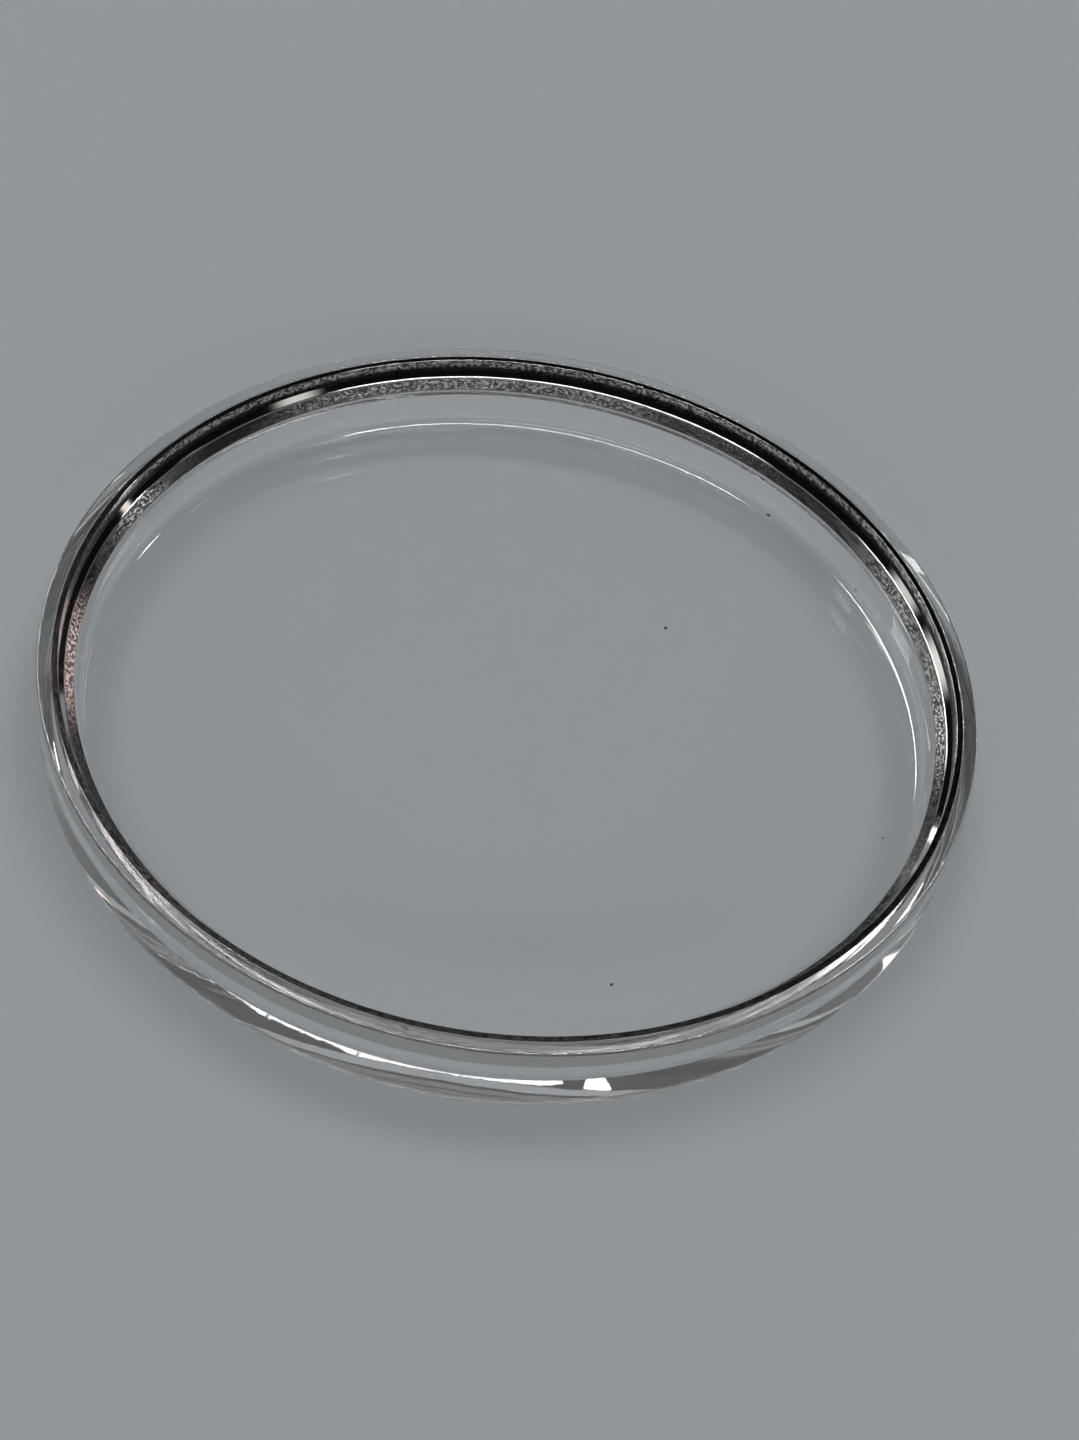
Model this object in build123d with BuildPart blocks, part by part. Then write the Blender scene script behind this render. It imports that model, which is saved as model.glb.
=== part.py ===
import math
import os

from build123d import *

os.makedirs("parts", exist_ok=True)

# Watch crystal, shown lying on its dome: Z is the axis, the apex touches the bench at Z = 0
# and the open rim faces up. Sizes are in millimetres.

# Crystal, clear acrylic
crystal_diameter = 31.0
crystal_height = 4.0
dome_rise = 0.7            # how far the dome's edge would stand above the apex with no shoulder
dome_thickness = 1.0
shoulder_radius = 1.0      # outside, from dome to wall
inner_corner_radius = 0.4  # inside, from dome to wall
wall_beside_ring = 0.47    # clear wall left outside the tension ring
rim_edge_radius = 0.1
bare_seat = 0.16           # seat that shows inside the ring's foot
seat_edge_bevel = 0.08

# Tension ring, polished steel
ring_recess = 0.03         # the ring stays this far below the rim
ring_top_width = 0.21
land_height = 0.48         # upright polished land under the top face
land_lean = 0.02
upper_bevel_width = 0.19
upper_bevel_height = 0.19
lip_height = 0.05          # small upright step between the bevels, seen as a bright line
lower_bevel_width = 0.29
lower_bevel_height = 0.25
foot_height = 0.04
lead_in = 0.08             # outer bevel that starts the ring into its groove

# Worked out from the sizes above
outer_radius = crystal_diameter / 2
groove_radius = outer_radius - wall_beside_ring
ring_width = ring_top_width + land_lean + upper_bevel_width + lower_bevel_width
ring_height = land_height + upper_bevel_height + lip_height + lower_bevel_height + foot_height
ring_inner_radius = groove_radius - ring_width
inner_wall_radius = ring_inner_radius - bare_seat
ring_top = crystal_height - ring_recess
seat_level = ring_top - ring_height

outer_dome_radius = (outer_radius**2 + dome_rise**2) / (2 * dome_rise)
inner_dome_radius = outer_dome_radius - dome_thickness
inner_dome_rise = inner_dome_radius - math.sqrt(inner_dome_radius**2 - inner_wall_radius**2)
inner_corner_level = dome_thickness + inner_dome_rise


def circle_at(part, radius, level):
    """The edge of a turned part that runs round its axis at this radius and level."""
    edges = part.edges().filter_by(GeomType.CIRCLE)
    return edges.sort_by(lambda e: abs(e.radius - radius) + abs(e.arc_center.Z - level))[0]


# Crystal: one turned profile, then its rounded shoulder, inner corner and rim
with BuildPart() as crystal:
    with BuildSketch(Plane.XZ):
        with BuildLine():
            outside = TangentArc((0, 0), (outer_radius, dome_rise), tangent=(1, 0))
            rim = Polyline(
                outside @ 1,
                (outer_radius, crystal_height),
                (groove_radius, crystal_height),
                (groove_radius, seat_level),
                (inner_wall_radius, seat_level),
                (inner_wall_radius, inner_corner_level),
            )
            TangentArc((0, dome_thickness), rim @ 1, tangent=(1, 0))
            Line((0, dome_thickness), (0, 0))
        make_face()
    revolve(axis=Axis.Z)
    fillet(circle_at(crystal, outer_radius, dome_rise), shoulder_radius)
    fillet(circle_at(crystal, inner_wall_radius, inner_corner_level), inner_corner_radius)
    fillet(circle_at(crystal, outer_radius, crystal_height), rim_edge_radius)
    chamfer(circle_at(crystal, inner_wall_radius, seat_level), seat_edge_bevel)

crystal.part.label = "crystal"
export_step(crystal.part, "parts/crystal.step")

# Tension ring: it fills the groove, foot on the seat, and presses the wall out into the case
with BuildPart() as tension_ring:
    with BuildSketch(Plane.XZ):
        with BuildLine():
            top = Line((groove_radius, ring_top), (groove_radius - ring_top_width, ring_top))
            land = Line(top @ 1, (top @ 1) - Vector(land_lean, land_height))
            upper_bevel = Line(land @ 1, (land @ 1) - Vector(upper_bevel_width, upper_bevel_height))
            lip = Line(upper_bevel @ 1, (upper_bevel @ 1) - Vector(0, lip_height))
            lower_bevel = Line(lip @ 1, (lip @ 1) - Vector(lower_bevel_width, lower_bevel_height))
            Polyline(
                lower_bevel @ 1,
                (ring_inner_radius, seat_level),
                (groove_radius, seat_level),
                (groove_radius, ring_top),
            )
        make_face()
    revolve(axis=Axis.Z)
    chamfer(circle_at(tension_ring, groove_radius, seat_level), lead_in)

tension_ring.part.label = "tension_ring"
export_step(tension_ring.part, "parts/tension_ring.step")

for piece in (crystal, tension_ring):
    print(piece.part.label, "volume", round(piece.part.volume, 2), "mm3")
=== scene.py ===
import math

import bmesh
import bpy
from mathutils import Matrix, Vector


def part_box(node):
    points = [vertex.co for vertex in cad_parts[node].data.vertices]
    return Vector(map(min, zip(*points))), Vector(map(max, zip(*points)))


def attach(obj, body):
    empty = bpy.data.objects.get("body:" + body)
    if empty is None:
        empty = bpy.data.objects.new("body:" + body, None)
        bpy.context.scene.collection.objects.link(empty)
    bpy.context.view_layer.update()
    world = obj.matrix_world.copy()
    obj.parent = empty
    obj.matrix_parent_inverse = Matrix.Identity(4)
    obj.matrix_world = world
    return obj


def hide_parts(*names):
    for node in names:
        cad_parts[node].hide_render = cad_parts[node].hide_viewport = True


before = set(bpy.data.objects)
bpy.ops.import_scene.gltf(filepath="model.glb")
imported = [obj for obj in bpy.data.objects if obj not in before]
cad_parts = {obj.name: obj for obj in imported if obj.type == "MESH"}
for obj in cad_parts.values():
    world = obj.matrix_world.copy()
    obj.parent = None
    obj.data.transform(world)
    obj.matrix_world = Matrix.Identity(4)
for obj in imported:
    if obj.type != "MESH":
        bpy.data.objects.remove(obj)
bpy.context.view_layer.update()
bpy.ops.object.select_all(action="DESELECT")
print("frame:", ", ".join(sorted(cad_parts)))

mm = 0.001  # both pieces are drawn in millimetres and brought to metres when they are turned
turnSteps = 720  # flats round a turned piece, half a degree each
mergeDistance = 0.0002  # points of a turned piece closer than this become one
sharpAngle = math.radians(25)  # edges that turn by more than this stay sharp
plainChamfer = 1  # segments of a corner that is cut off flat
roundProfile = 0.5  # with this profile a bevel is an arc

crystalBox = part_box("crystal")
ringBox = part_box("tension_ring")
outerRadius = crystalBox[1].x / mm
rimLevel = crystalBox[1].z / mm
grooveRadius = ringBox[1].x / mm
ringTop = ringBox[1].z / mm
seatLevel = ringBox[0].z / mm


# Drawing a half section in the XZ plane, radius outwards and level up, and turning it

def startOutline(name, radius, level):
    # a small plane merged to one vertex, moved to the outline's first point
    bpy.ops.object.select_all(action="DESELECT")
    bpy.ops.mesh.primitive_plane_add(size=1)
    piece = bpy.context.object
    piece.name = piece.data.name = name
    bpy.ops.object.mode_set(mode="EDIT")
    bpy.ops.mesh.select_all(action="SELECT")
    bpy.ops.mesh.merge(type="CENTER")
    bpy.ops.transform.translate(value=(radius, 0, level))
    return piece


def lineBy(outward, up):
    bpy.ops.mesh.extrude_vertices_move(TRANSFORM_OT_translate={"value": (outward, 0, up)})


def arcAbout(level, angle, steps):
    # on round a centre on the axis, outwards for a positive angle
    bpy.ops.mesh.spin(steps=steps, angle=angle, center=(0, 0, level), axis=(0, 1, 0))


def roundCorner(piece, radius, level, size, segments):
    # one corner of the outline gets an arc of this size, or a chamfer
    bpy.ops.mesh.select_all(action="DESELECT")
    drawn = bmesh.from_edit_mesh(piece.data)
    place = Vector((radius, 0, level))
    corner = min(drawn.verts, key=lambda vert: (vert.co - place).length)
    corner.select = True
    drawn.select_flush_mode()
    away = [(edge.other_vert(corner).co - corner.co).normalized() for edge in corner.link_edges]
    turn = math.pi - away[0].angle(away[1])
    offset = size if segments == plainChamfer else size * math.tan(turn / 2)
    bmesh.update_edit_mesh(piece.data)
    bpy.ops.mesh.bevel(
        offset_type="OFFSET", offset=offset, segments=segments, profile=roundProfile,
        affect="VERTICES", clamp_overlap=False,
    )


def turnOutline(piece):
    # a full turn round Z, closed at the seam and the poles, with its flat faces kept flat
    bpy.ops.mesh.select_all(action="SELECT")
    bpy.ops.mesh.spin(steps=turnSteps, angle=2 * math.pi, center=(0, 0, 0), axis=(0, 0, 1))
    bpy.ops.mesh.select_all(action="SELECT")
    bpy.ops.mesh.remove_doubles(threshold=mergeDistance)
    bpy.ops.mesh.normals_make_consistent(inside=False)
    bpy.ops.object.mode_set(mode="OBJECT")
    bpy.ops.object.shade_smooth_by_angle(angle=sharpAngle)
    weighted = piece.modifiers.new("flat faces stay flat", "WEIGHTED_NORMAL")
    weighted.keep_sharp = True
    bpy.ops.object.modifier_apply(modifier=weighted.name)
    piece.scale = (mm, mm, mm)
    bpy.ops.object.transform_apply(location=False, rotation=False, scale=True)
    piece.select_set(False)


# Crystal: a low dome with a rounded shoulder, an upright wall and a groove for the ring

crystalLook = {
    "domeRise": 0.7,
    "domeThickness": 1.0,
    "domeSteps": 14,
    "shoulderRadius": 1.0,
    "innerCornerRadius": 0.4,
    "cornerSegments": 16,
    "rimEdgeRadius": 0.1,
    "grooveEdgeRadius": 0.03,
    "bareSeat": 0.16,
    "seatEdgeBevel": 0.08,
    "smallSegments": 5,
    "squeeze": 0.008,  # the groove's wall is drawn this much inwards, so that it grips the ring
}


def makeCrystal(look):
    rise = look["domeRise"]
    domeRadius = (outerRadius**2 + rise**2) / (2 * rise)
    hollowRadius = domeRadius - look["domeThickness"]
    wallRadius = ringInnerRadius - look["bareSeat"]
    grippedRadius = grooveRadius - look["squeeze"]
    hollowAngle = math.asin(wallRadius / hollowRadius)
    cornerLevel = domeRadius - hollowRadius * math.cos(hollowAngle)

    crystal = startOutline("watchCrystal", 0, 0)
    arcAbout(domeRadius, math.asin(outerRadius / domeRadius), look["domeSteps"])
    lineBy(0, rimLevel - rise)
    lineBy(grippedRadius - outerRadius, 0)
    lineBy(0, seatLevel - rimLevel)
    lineBy(wallRadius - grippedRadius, 0)
    lineBy(0, cornerLevel - seatLevel)
    arcAbout(domeRadius, -hollowAngle, look["domeSteps"])

    roundCorner(crystal, outerRadius, rise, look["shoulderRadius"], look["cornerSegments"])
    roundCorner(crystal, wallRadius, cornerLevel, look["innerCornerRadius"], look["cornerSegments"])
    roundCorner(crystal, outerRadius, rimLevel, look["rimEdgeRadius"], look["smallSegments"])
    roundCorner(crystal, grippedRadius, rimLevel, look["grooveEdgeRadius"], look["smallSegments"])
    roundCorner(crystal, wallRadius, seatLevel, look["seatEdgeBevel"], plainChamfer)
    turnOutline(crystal)
    return crystal


# Tension ring: top face, upright land, two bevels with a bright lip between them, and a foot

ringLook = {
    "gap": 0.006,  # kept off the CAD's groove, so that no two faces share a plane
    "topWidth": 0.21,
    "landHeight": 0.48,
    "landLean": 0.02,
    "upperBevel": 0.19,
    "lipHeight": 0.05,
    "ledgeWidth": 0.03,  # the lip's upper edge stands a little proud and shows as a bright line
    "ledgeFall": 0.01,
    "lowerBevelWidth": 0.29,
    "lowerBevelHeight": 0.25,
    "leadIn": 0.08,
    "edgeRadius": 0.012,
    "lipRadius": 0.03,
    "edgeSegments": 4,
    "topNormal": 0.99,  # a face that points up more than this is part of the top
    "landNormal": 0.5,  # a face that points up or down less than this is upright
}
ringInnerRadius = grooveRadius - sum(
    ringLook[part] for part in ("topWidth", "landLean", "upperBevel", "lowerBevelWidth")
)


def makeTensionRing(look):
    radius = grooveRadius - look["gap"]
    foot = seatLevel + look["gap"]
    landTop = grooveRadius - look["topWidth"]
    halfway = (ringTop + foot) / 2
    corners = [
        (radius, ringTop),
        (landTop, ringTop),
        (landTop - look["landLean"], ringTop - look["landHeight"]),
    ]
    bevelled = look["upperBevel"] - look["ledgeWidth"]
    for outward, up in (
        (bevelled, bevelled),
        (look["ledgeWidth"], look["ledgeFall"]),
        (0, look["lipHeight"] + look["ledgeWidth"] - look["ledgeFall"]),
        (look["lowerBevelWidth"], look["lowerBevelHeight"]),
    ):
        corners.append((corners[-1][0] - outward, corners[-1][1] - up))
    corners.append((corners[-1][0], foot))
    corners.append((radius, foot))

    ring = startOutline("tensionRing", radius, halfway)
    here = (radius, halfway)
    for place in corners + [here]:  # back to the middle of the outer face
        lineBy(place[0] - here[0], place[1] - here[1])
        here = place
    lipEdge = 4  # its place among the corners
    for number, place in enumerate(corners[:-1]):
        size = look["lipRadius"] if number == lipEdge else look["edgeRadius"]
        roundCorner(ring, *place, size, look["edgeSegments"])
    roundCorner(ring, *corners[-1], look["leadIn"], plainChamfer)
    turnOutline(ring)
    markGrainedFaces(ring, look)
    return ring


def markGrainedFaces(ring, look):
    # the top, the upright land and the lower bevel keep the tool's grain, in the second material, which
    # also paints shade on them by level
    landFoot = (ringTop - look["landHeight"]) * mm
    lipFoot = landFoot - (look["upperBevel"] + look["lipHeight"]) * mm
    for face in ring.data.polygons:
        inward = face.center.x * face.normal.x + face.center.y * face.normal.y < 0
        onLand = face.center.z > landFoot and abs(face.normal.z) < look["landNormal"]
        onLowerBevel = face.center.z < lipFoot
        onTop = face.normal.z > look["topNormal"]
        face.material_index = 1 if onTop or inward and (onLand or onLowerBevel) else 0


crystal = makeCrystal(crystalLook)
print("crystal turned:", len(crystal.data.polygons), "faces")
tensionRing = makeTensionRing(ringLook)
print("tension ring turned:", len(tensionRing.data.polygons), "faces")


# Node helpers

mixFactor, mixFirst, mixSecond, mixedColor = 0, 6, 7, 2  # sockets of a Mix node set to colors


def addNode(tree, kind, values=None, **settings):
    node = tree.nodes.new("ShaderNode" + kind)
    for setting, value in settings.items():
        setattr(node, setting, value)
    for socket, value in (values or {}).items():
        node.inputs[socket].default_value = value
    return node


def newGroup(name, inputs, outputs):
    group = bpy.data.node_groups.new(name, "ShaderNodeTree")
    for socket, value in inputs.items():
        made = group.interface.new_socket(socket, in_out="INPUT", socket_type="NodeSocketFloat")
        made.default_value = value
    for socket in outputs:
        group.interface.new_socket(socket, in_out="OUTPUT", socket_type="NodeSocketFloat")
    return group, group.nodes.new("NodeGroupInput"), group.nodes.new("NodeGroupOutput")


def useGroup(tree, group, values):
    node = tree.nodes.new("ShaderNodeGroup")
    node.node_tree = group
    for socket, value in values.items():
        node.inputs[socket].default_value = value
    return node


def newMaterial(name):
    material = bpy.data.materials.new(name)
    material.use_nodes = True
    tree = material.node_tree
    return material, tree, tree.nodes["Principled BSDF"]


# Effects that both materials use

def makeTurningMarks():
    # grain of a turned face: fine up the wall or outwards across a flat, drawn out around
    group, inputs, outputs = newGroup(
        "turningMarks", {"Up": 8000.0, "Out": 8000.0, "Around": 20.0, "Detail": 2.0}, ["Height"]
    )
    place = addNode(group, "TexCoord")
    flat = addNode(group, "VectorMath", {1: (1, 1, 0)}, operation="MULTIPLY")
    radius = addNode(group, "VectorMath", operation="LENGTH")
    around = addNode(group, "VectorMath", operation="NORMALIZE")
    split = addNode(group, "SeparateXYZ")
    splitAround = addNode(group, "SeparateXYZ")
    up = addNode(group, "Math", operation="MULTIPLY")
    out = addNode(group, "Math", operation="MULTIPLY_ADD")
    aroundX = addNode(group, "Math", operation="MULTIPLY")
    aroundY = addNode(group, "Math", operation="MULTIPLY")
    vector = addNode(group, "CombineXYZ")
    noise = addNode(group, "TexNoise", {"Scale": 1.0})
    links = group.links
    links.new(place.outputs["Object"], flat.inputs[0])
    links.new(place.outputs["Object"], split.inputs[0])
    links.new(flat.outputs[0], radius.inputs[0])
    links.new(flat.outputs[0], around.inputs[0])
    links.new(around.outputs[0], splitAround.inputs[0])
    for source, scale, product, axis in (
        (split.outputs["Z"], "Up", up, None),
        (radius.outputs["Value"], "Out", out, "X"),
        (splitAround.outputs["X"], "Around", aroundX, "Y"),
        (splitAround.outputs["Y"], "Around", aroundY, "Z"),
    ):
        links.new(source, product.inputs[0])
        links.new(inputs.outputs[scale], product.inputs[1])
        if axis:
            links.new(product.outputs[0], vector.inputs[axis])
    links.new(up.outputs[0], out.inputs[2])
    links.new(vector.outputs[0], noise.inputs["Vector"])
    links.new(inputs.outputs["Detail"], noise.inputs["Detail"])
    links.new(noise.outputs[0], outputs.inputs["Height"])
    return group


def makeDust():
    # a speck here and there, most of them far smaller than the largest
    group, inputs, outputs = newGroup("dust", {"Scale": 250.0, "Size": 0.03}, ["Mask"])
    unevenness = 4.0
    place = addNode(group, "TexCoord")
    cells = addNode(group, "TexVoronoi")
    chance = addNode(group, "SeparateColor")
    rare = addNode(group, "Math", {1: unevenness}, operation="POWER")
    size = addNode(group, "Math", operation="MULTIPLY")
    speck = addNode(group, "Math", operation="LESS_THAN")
    links = group.links
    links.new(place.outputs["Object"], cells.inputs["Vector"])
    links.new(inputs.outputs["Scale"], cells.inputs["Scale"])
    links.new(cells.outputs["Color"], chance.inputs[0])
    links.new(chance.outputs[0], rare.inputs[0])
    links.new(rare.outputs[0], size.inputs[0])
    links.new(inputs.outputs["Size"], size.inputs[1])
    links.new(cells.outputs["Distance"], speck.inputs[0])
    links.new(size.outputs[0], speck.inputs[1])
    links.new(speck.outputs[0], outputs.inputs["Mask"])
    return group


turningMarks = makeTurningMarks()
dust = makeDust()


# Clear acrylic, which lets the lamps through to what lies under it

acrylicLook = {
    "color": (0.99, 0.995, 1, 1),
    "ior": 1.49,
    "roughness": 0.0,
    "clearness": 0.99,  # the rest is the faint haze of handled acrylic
    "dustColor": (0.05, 0.045, 0.04, 1),
    "dustScale": 600.0,
    "dustSize": 0.06,
    "marks": {"Up": 5000.0, "Out": 0.0, "Around": 1.0, "Detail": 2.0},
    "markDepth": 0.0002 * mm,
}


def addMarks(tree, surface, marks, depth):
    # turned grain as a bump of this depth
    grain = useGroup(tree, turningMarks, marks)
    bump = addNode(tree, "Bump", {"Distance": depth})
    tree.links.new(grain.outputs["Height"], bump.inputs["Height"])
    tree.links.new(bump.outputs[0], surface.inputs["Normal"])


def makeClearAcrylic(look):
    material, tree, surface = newMaterial("clearAcrylic")
    surface.inputs["Transmission Weight"].default_value = look["clearness"]
    surface.inputs["IOR"].default_value = look["ior"]
    surface.inputs["Roughness"].default_value = look["roughness"]
    links = tree.links

    specks = useGroup(tree, dust, {"Scale": look["dustScale"], "Size": look["dustSize"]})
    color = addNode(
        tree, "Mix", {mixFirst: look["color"], mixSecond: look["dustColor"]}, data_type="RGBA"
    )
    links.new(specks.outputs["Mask"], color.inputs[mixFactor])
    links.new(color.outputs[mixedColor], surface.inputs["Base Color"])

    addMarks(tree, surface, look["marks"], look["markDepth"])

    ray = addNode(tree, "LightPath")
    through = addNode(tree, "BsdfTransparent")
    mixed = addNode(tree, "MixShader")
    links.new(ray.outputs["Is Shadow Ray"], mixed.inputs[0])
    links.new(surface.outputs[0], mixed.inputs[1])
    links.new(through.outputs[0], mixed.inputs[2])
    links.new(mixed.outputs[0], tree.nodes["Material Output"].inputs["Surface"])
    return material


# Steel: polished on the upper bevel and the lip, grained on the top, the land and the lower bevel, the
# grain with painted shade by level

steelLook = {
    "color": (0.62, 0.61, 0.59, 1),
    "roughness": 0.05,
    "fineMarks": {"Up": 9000.0, "Out": 9000.0, "Around": 6.0, "Detail": 2.0},
    "fineDepth": 0.00006 * mm,
    "grainColor": (0.62, 0.62, 0.61, 1),
    # painted shade: the dark flecks follow the turned grain but are painted near black, far darker than
    # steel, standing in for the dark room that the grain reflects
    "darkGrainPaintedShade": (0.10, 0.10, 0.10, 1),
    "grainRoughness": 0.20,
    "grain": {"Up": 9000.0, "Out": 9000.0, "Around": 110.0, "Detail": 2.0},
    "grainDepth": 0.0025 * mm,
    "speckle": (0.42, 0.60),  # grain lower than the first takes the painted dark, higher than the second is light
    "paintedShadeByLevel": (  # painted shade: how light the grain is painted, from the ring's foot at 0 to its top at 1, darker low on the land, on the lower bevel and on the top, where the dark room is reflected
        (0.0, 0.45), (0.30, 0.45), (0.46, 0.06), (0.66, 0.08), (0.80, 1.0), (0.97, 1.0), (0.99, 0.3),
    ),
}


def makePolishedSteel(look):
    material, tree, surface = newMaterial("polishedSteel")
    surface.inputs["Metallic"].default_value = 1
    surface.inputs["Roughness"].default_value = look["roughness"]
    surface.inputs["Base Color"].default_value = look["color"]
    addMarks(tree, surface, look["fineMarks"], look["fineDepth"])
    return material


def makeGrainedSteelPaintedShade(look):
    material, tree, surface = newMaterial("grainedSteelPaintedShade")
    surface.inputs["Metallic"].default_value = 1
    surface.inputs["Roughness"].default_value = look["grainRoughness"]
    addMarks(tree, surface, look["grain"], look["grainDepth"])
    links = tree.links

    grain = useGroup(tree, turningMarks, look["grain"])
    dark, light = look["speckle"]
    speckle = addNode(tree, "MapRange", {"From Min": dark, "From Max": light})
    flecked = addNode(
        tree, "Mix", {mixFirst: look["darkGrainPaintedShade"], mixSecond: look["grainColor"]}, data_type="RGBA"
    )
    links.new(grain.outputs["Height"], speckle.inputs["Value"])
    links.new(speckle.outputs[0], flecked.inputs[mixFactor])

    # painted shade: the flecked grain is multiplied by a ramp on height, darker where the dark room
    # would be reflected
    place = addNode(tree, "TexCoord")
    split = addNode(tree, "SeparateXYZ")
    level = addNode(tree, "MapRange", {"From Min": seatLevel * mm, "From Max": ringTop * mm})
    shade = addNode(tree, "ValToRGB")
    stops = shade.color_ramp.elements
    madeStops = len(stops)
    for number, (at, value) in enumerate(look["paintedShadeByLevel"]):
        stop = stops[number] if number < madeStops else stops.new(at)
        stop.position = at
        stop.color = (value, value, value, 1)
    shaded = addNode(tree, "Mix", {mixFactor: 1.0}, data_type="RGBA", blend_type="MULTIPLY")
    links.new(place.outputs["Object"], split.inputs[0])
    links.new(split.outputs["Z"], level.inputs["Value"])
    links.new(level.outputs[0], shade.inputs[0])
    links.new(flecked.outputs[mixedColor], shaded.inputs[mixFirst])
    links.new(shade.outputs[0], shaded.inputs[mixSecond])
    links.new(shaded.outputs[mixedColor], surface.inputs["Base Color"])
    return material


paperLook = {
    "color": (0.300, 0.319, 0.332, 1),
    "roughness": 0.9,
    "shine": 0.2,
}


def makePaper(look):
    material, tree, surface = newMaterial("palePaper")
    surface.inputs["Base Color"].default_value = look["color"]
    surface.inputs["Roughness"].default_value = look["roughness"]
    surface.inputs["Specular IOR Level"].default_value = look["shine"]
    return material


crystal.data.materials.append(makeClearAcrylic(acrylicLook))
for steel in (makePolishedSteel(steelLook), makeGrainedSteelPaintedShade(steelLook)):
    tensionRing.data.materials.append(steel)
print("materials made")

for piece, node, slotName in (
    (crystal, "crystal", "clear_acrylic"),
    (tensionRing, "tension_ring", "polished_steel"),
):
    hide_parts(node)
    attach(piece, "root")


# Studio: a pale floor, long soft lamps and a dark room, as a polished piece is photographed

floorSize = 4.0  # in metres, as are the places of the lamps and the cards
bpy.ops.object.select_all(action="DESELECT")
bpy.ops.mesh.primitive_plane_add(size=floorSize)
floor = bpy.context.object
floor.name = "floor"
floor.data.materials.append(makePaper(paperLook))

lampLook = {
    # name: one end, other end, width, radiance, color
    "overhead": ((-1.10, 0, 2.00), (1.10, 0, 2.00), 2.00, 3.2, (1, 1, 1)),
    "frontFill": ((-1.00, -1.60, 0.80), (1.40, -1.10, 0.80), 0.30, 3.0, (1, 1, 1)),
}

# Cards that only polished faces and clear edges show, and that light nothing
cardLook = {
    # name: one end, other end, width, radiance, color, where its ends start to fade, faded across too
    "patchCard": ((-2.40, 1.62, 0.76), (-2.60, 0.88, 1.19), 0.22, 1.1, (1, 0.99, 0.97), 0.1, False),
    "nearPatchCard": ((-2.23, 0.73, 1.16), (-2.18, 0.24, 1.40), 0.46, 0.9, (1, 0.99, 0.97), 0.1, False),
    "farPatchCard": ((1.57, -0.74, 1.67), (1.81, -0.34, 1.55), 0.42, 0.9, (1, 0.99, 0.97), 0.1, False),
    "bevelCard": ((-0.81, -1.30, 2.10), (1.28, -1.07, 1.99), 0.30, 1.0, (1, 1, 1), 0.3, False),
    "rightArcCard": ((-1.56, 1.77, 0.84), (-1.60, 0.17, 1.92), 0.30, 22, (1, 1, 1), 0.4, False),
    "farArcCard": ((-1.25, -0.37, 2.18), (1.50, -0.50, 2.24), 0.30, 28, (1, 1, 1), 0.4, False),
    "rightBackCard": ((2.10, 1.99, 0.80), (1.41, 2.65, 0.13), 0.26, 3.5, (1, 0.80, 0.77), 0.3, False),
    "roundCard": ((2.12, 0.90, 0.92), (2.07, 1.05, 0.92), 0.10, 1.4, (1, 0.88, 0.86), 0.2, True),
    "blobCard": ((1.56, 1.05, 1.32), (1.72, 0.82, 1.32), 0.26, 40, (0.98, 1, 0.97), 0.4, True),
    "highRoundCard": ((-0.44, 1.235, 1.89), (-0.52, 1.203, 1.89), 0.13, 12, (1, 1, 1), 0.45, True),
    "topCard": ((-0.52, 1.71, 1.89), (-0.38, 1.54, 2.06), 0.25, 0.5, (1, 1, 1), 0.3, False),
    "wallCard": ((2.46, 0.75, 0.41), (2.35, 0.72, 0.85), 0.40, 0.45, (0.95, 0.98, 1), 0.3, False),
}

# The long light that shows as the bright streak low in the near wall, in level strips
streakLook = {
    "reach": 2.6,
    "level": math.radians(56.75),
    "start": math.radians(38),
    "end": math.radians(107),
    "parts": 5,
    "width": 0.07,
    "radiance": 1.4,
    "color": (0.96, 0.99, 1),
    "fadeFrom": 0.49,
}
cardEnd = 0.5  # from a card's middle to its end, as a share of its length


def facingPlace(start, end):
    # a frame with X along the strip and Z away from the object, at the strip's middle
    start, end = Vector(start), Vector(end)
    along = (end - start).normalized()
    middle = (start + end) / 2
    away = (middle - along * middle.dot(along)).normalized()
    turned = Matrix((along, away.cross(along), away)).transposed().to_4x4()
    return Matrix.Translation(middle) @ turned, (end - start).length


def addLamp(name, start, end, width, radiance, color):
    place, length = facingPlace(start, end)
    data = bpy.data.lights.new(name, "AREA")
    data.shape = "RECTANGLE"
    data.size, data.size_y = length, width
    data.energy = radiance * math.pi * length * width
    data.color = color
    data.cycles.use_multiple_importance_sampling = False  # so that it lights through the acrylic
    lamp = bpy.data.objects.new(name, data)
    lamp.visible_glossy = False
    lamp.visible_transmission = False
    bpy.context.scene.collection.objects.link(lamp)
    lamp.matrix_world = place


def addCard(name, start, end, width, radiance, color, fadeFrom, fadeAcross):
    place, length = facingPlace(start, end)
    material, tree, surface = newMaterial(name)
    surface.inputs["Base Color"].default_value = (0, 0, 0, 1)
    surface.inputs["Emission Color"].default_value = (*color, 1)
    where = addNode(tree, "TexCoord")
    along = addNode(tree, "VectorMath", {1: (1, 1 if fadeAcross else 0, 0)}, operation="MULTIPLY")
    out = addNode(tree, "VectorMath", operation="LENGTH")
    glow = addNode(
        tree, "MapRange", {"From Min": cardEnd, "From Max": fadeFrom, "To Max": radiance},
        interpolation_type="SMOOTHSTEP",
    )
    tree.links.new(where.outputs["Object"], along.inputs[0])
    tree.links.new(along.outputs[0], out.inputs[0])
    tree.links.new(out.outputs["Value"], glow.inputs["Value"])
    tree.links.new(glow.outputs[0], surface.inputs["Emission Strength"])
    bpy.ops.object.select_all(action="DESELECT")
    bpy.ops.mesh.primitive_plane_add(size=1)
    card = bpy.context.object
    card.name = name
    card.data.materials.append(material)
    card.matrix_world = place @ Matrix.Diagonal((length, width, 1, 1))
    card.visible_camera = False
    card.visible_diffuse = False
    card.visible_shadow = False


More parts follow.
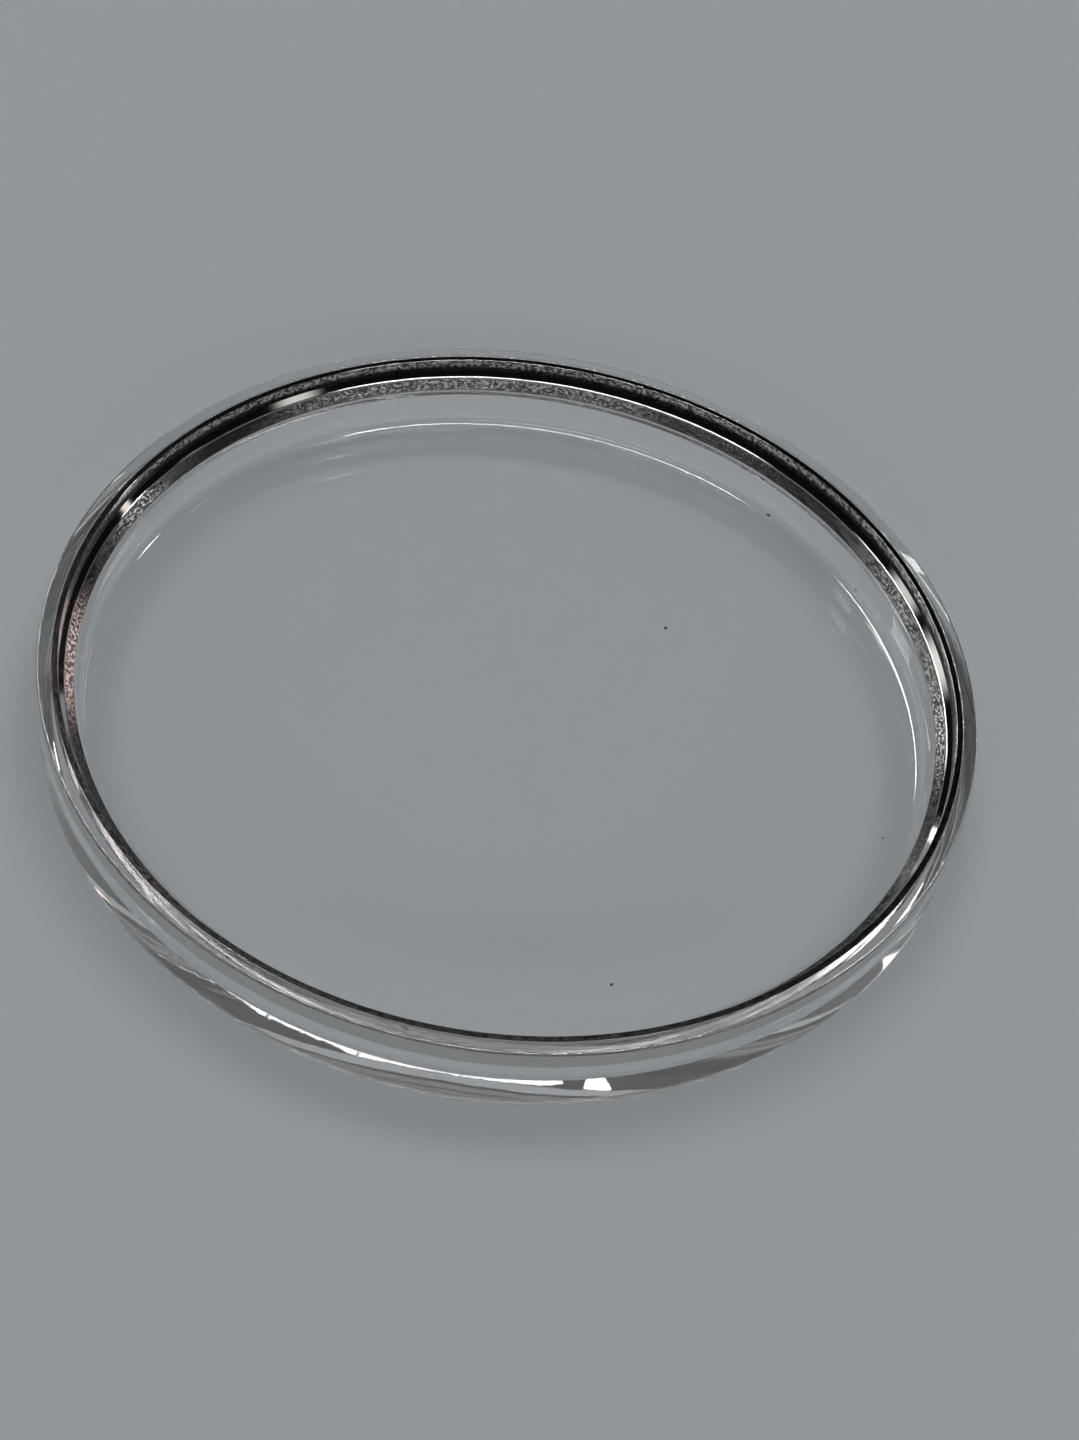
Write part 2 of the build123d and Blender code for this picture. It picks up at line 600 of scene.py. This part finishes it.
def addStreak(look):
    def at(angle):
        return look["reach"] * Vector((
            math.cos(look["level"]) * math.cos(angle),
            math.cos(look["level"]) * math.sin(angle),
            math.sin(look["level"]),
        ))

    step = (look["end"] - look["start"]) / look["parts"]
    for part in range(look["parts"]):
        start = look["start"] + part * step
        addCard(
            "streakCard%d" % part, at(start), at(start + step),
            look["width"], look["radiance"], look["color"], look["fadeFrom"], False,
        )


for name, values in lampLook.items():
    addLamp(name, *values)
for name, values in cardLook.items():
    addCard(name, *values)
addStreak(streakLook)

world = bpy.data.worlds.new("darkRoom")
bpy.context.scene.world = world
world.use_nodes = True
roomColor = (0.004, 0.004, 0.0042, 1)
world.node_tree.nodes["Background"].inputs["Color"].default_value = roomColor


# Camera, fitted to the ring's circles in the photo

view = {
    "elevation": math.radians(48.40),
    "roll": math.radians(10.46),
    "distance": 82.4 * mm,
    "right": 0.80 * mm,  # how far the middle of the frame lies from the rim's centre
    "down": 2.03 * mm,
    "lens": 62.5,
    "sensor": 36.0,
    "near": 1 * mm,
    "far": 10.0,
}


def addCamera(view):
    data = bpy.data.cameras.new("camera")
    data.lens = view["lens"]
    data.sensor_width = view["sensor"]  # the frame's long side
    data.clip_start = view["near"]
    data.clip_end = view["far"]
    ahead = Vector((0, math.cos(view["elevation"]), -math.sin(view["elevation"])))
    level = Vector((1, 0, 0))
    upright = level.cross(ahead)
    cosRoll, sinRoll = math.cos(view["roll"]), math.sin(view["roll"])
    right = level * cosRoll + upright * sinRoll
    up = upright * cosRoll - level * sinRoll
    place = (
        Vector((0, 0, rimLevel * mm)) - ahead * view["distance"]
        + right * view["right"] - up * view["down"]
    )
    camera = bpy.data.objects.new("camera", data)
    bpy.context.scene.collection.objects.link(camera)
    camera.matrix_world = (
        Matrix.Translation(place) @ Matrix((right, up, -ahead)).transposed().to_4x4()
    )
    return camera


scene = bpy.context.scene
scene.camera = addCamera(view)
scene.view_settings.view_transform = "Standard"
bounces = 48  # light is led round inside the dome before it leaves
scene.cycles.max_bounces = bounces
scene.cycles.transmission_bounces = bounces
scene.cycles.glossy_bounces = bounces
scene.cycles.caustics_refractive = False  # the lamps reach through the acrylic without them
scene.cycles.caustics_reflective = False

print("studio set")
